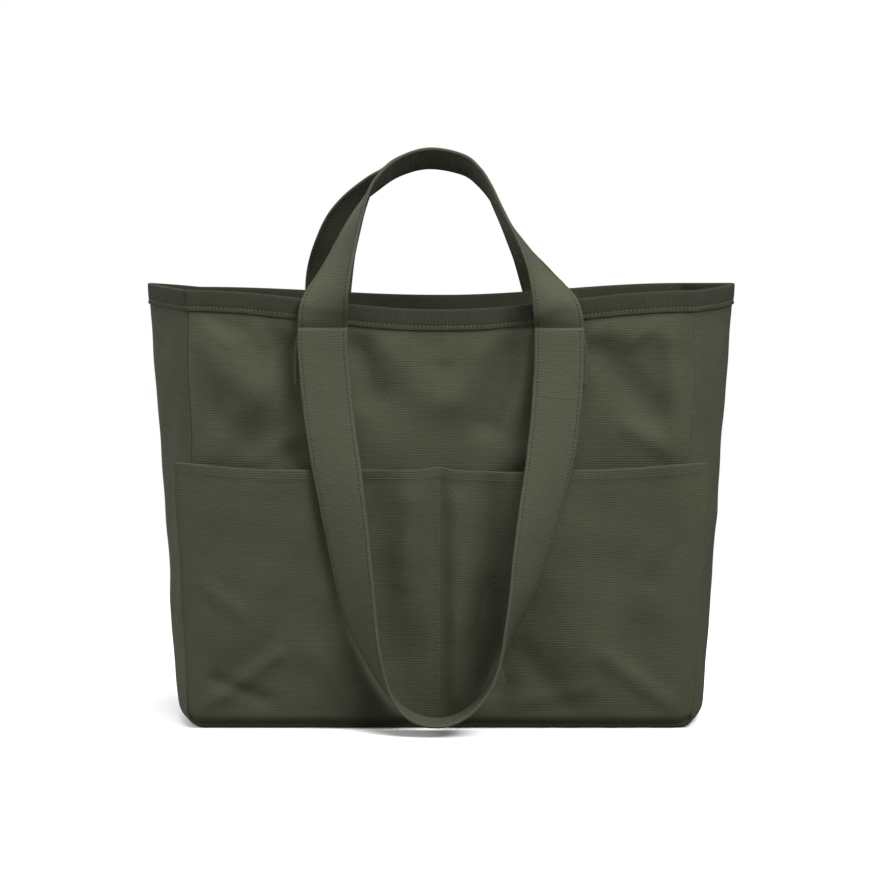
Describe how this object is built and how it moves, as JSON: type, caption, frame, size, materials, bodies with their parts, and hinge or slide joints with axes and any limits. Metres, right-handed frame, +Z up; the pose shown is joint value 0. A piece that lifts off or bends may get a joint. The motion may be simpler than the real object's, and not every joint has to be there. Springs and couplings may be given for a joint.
{
  "type": "garden tool bag",
  "caption": "Flat-bottomed canvas tote for garden tools, with a divided front pocket, a bound rim, short carrying handles and long shoulder straps.",
  "frame": {"origin": "middle of the base panel's underside, on the surface the bag stands on", "axes": "+Z up; the front with its pocket faces -Y; +X is the right-hand side of the bag as seen from the front"},
  "size_m": [0.477, 0.2572, 0.4591],
  "materials": {
    "canvas": "matte",
    "binding": "matte",
    "strap": "matte",
    "thread": "matte"
  },
  "bodies": {
    "bag": {"front_panel": "canvas", "back_panel": "canvas", "left_gusset": "canvas", "right_gusset": "canvas", "base_panel": "canvas", "rim_binding": "binding", "front_pocket": "canvas", "front_seam_binding": "binding", "back_seam_binding": "binding", "rim_stitching": "thread", "pocket_hem_stitching": "thread", "pocket_divider_stitching": "thread", "front_anchor_stitching": "thread", "back_anchor_stitching": "thread", "front_left_handle_end": "strap", "front_right_handle_end": "strap", "back_left_handle_end": "strap", "back_right_handle_end": "strap", "front_left_strap_end": "strap", "front_right_strap_end": "strap", "back_left_strap_end": "strap", "back_right_strap_end": "strap"},
    "front_handle": {"front_handle": "strap", "front_handle_stitching": "thread"},
    "back_handle": {"back_handle": "strap", "back_handle_stitching": "thread"},
    "front_strap": {"front_strap_legs": "strap", "front_leg_stitching": "thread"},
    "front_strap_loop": {"front_strap_loop": "strap", "front_loop_stitching": "thread"},
    "back_strap": {"back_strap_legs": "strap", "back_leg_stitching": "thread"},
    "back_strap_loop": {"back_strap_loop": "strap", "back_loop_stitching": "thread"}
  },
  "joints": [
    {"name": "front_handle_swing", "type": "hinge", "parent": "bag", "child": "front_handle", "pos_m": [0, -0.088, 0.319], "axis": [-1, 0, 0], "range_deg": [-135, 0]},
    {"name": "front_strap_fold", "type": "hinge", "parent": "bag", "child": "front_strap", "pos_m": [0, -0.088, 0.3165], "axis": [-1, 0, 0], "range_deg": [0, 165]},
    {"name": "front_strap_bend", "type": "hinge", "parent": "front_strap", "child": "front_strap_loop", "pos_m": [0, -0.0953, 0.25], "axis": [-1, 0, 0], "range_deg": [0, 25]},
    {"name": "back_handle_swing", "type": "hinge", "parent": "bag", "child": "back_handle", "pos_m": [0, 0.088, 0.319], "axis": [1, 0, 0], "range_deg": [-135, 0]},
    {"name": "back_strap_fold", "type": "hinge", "parent": "bag", "child": "back_strap", "pos_m": [0, 0.088, 0.3165], "axis": [1, 0, 0], "range_deg": [0, 165]},
    {"name": "back_strap_bend", "type": "hinge", "parent": "back_strap", "child": "back_strap_loop", "pos_m": [0, 0.0953, 0.25], "axis": [1, 0, 0], "range_deg": [0, 25]}
  ]
}
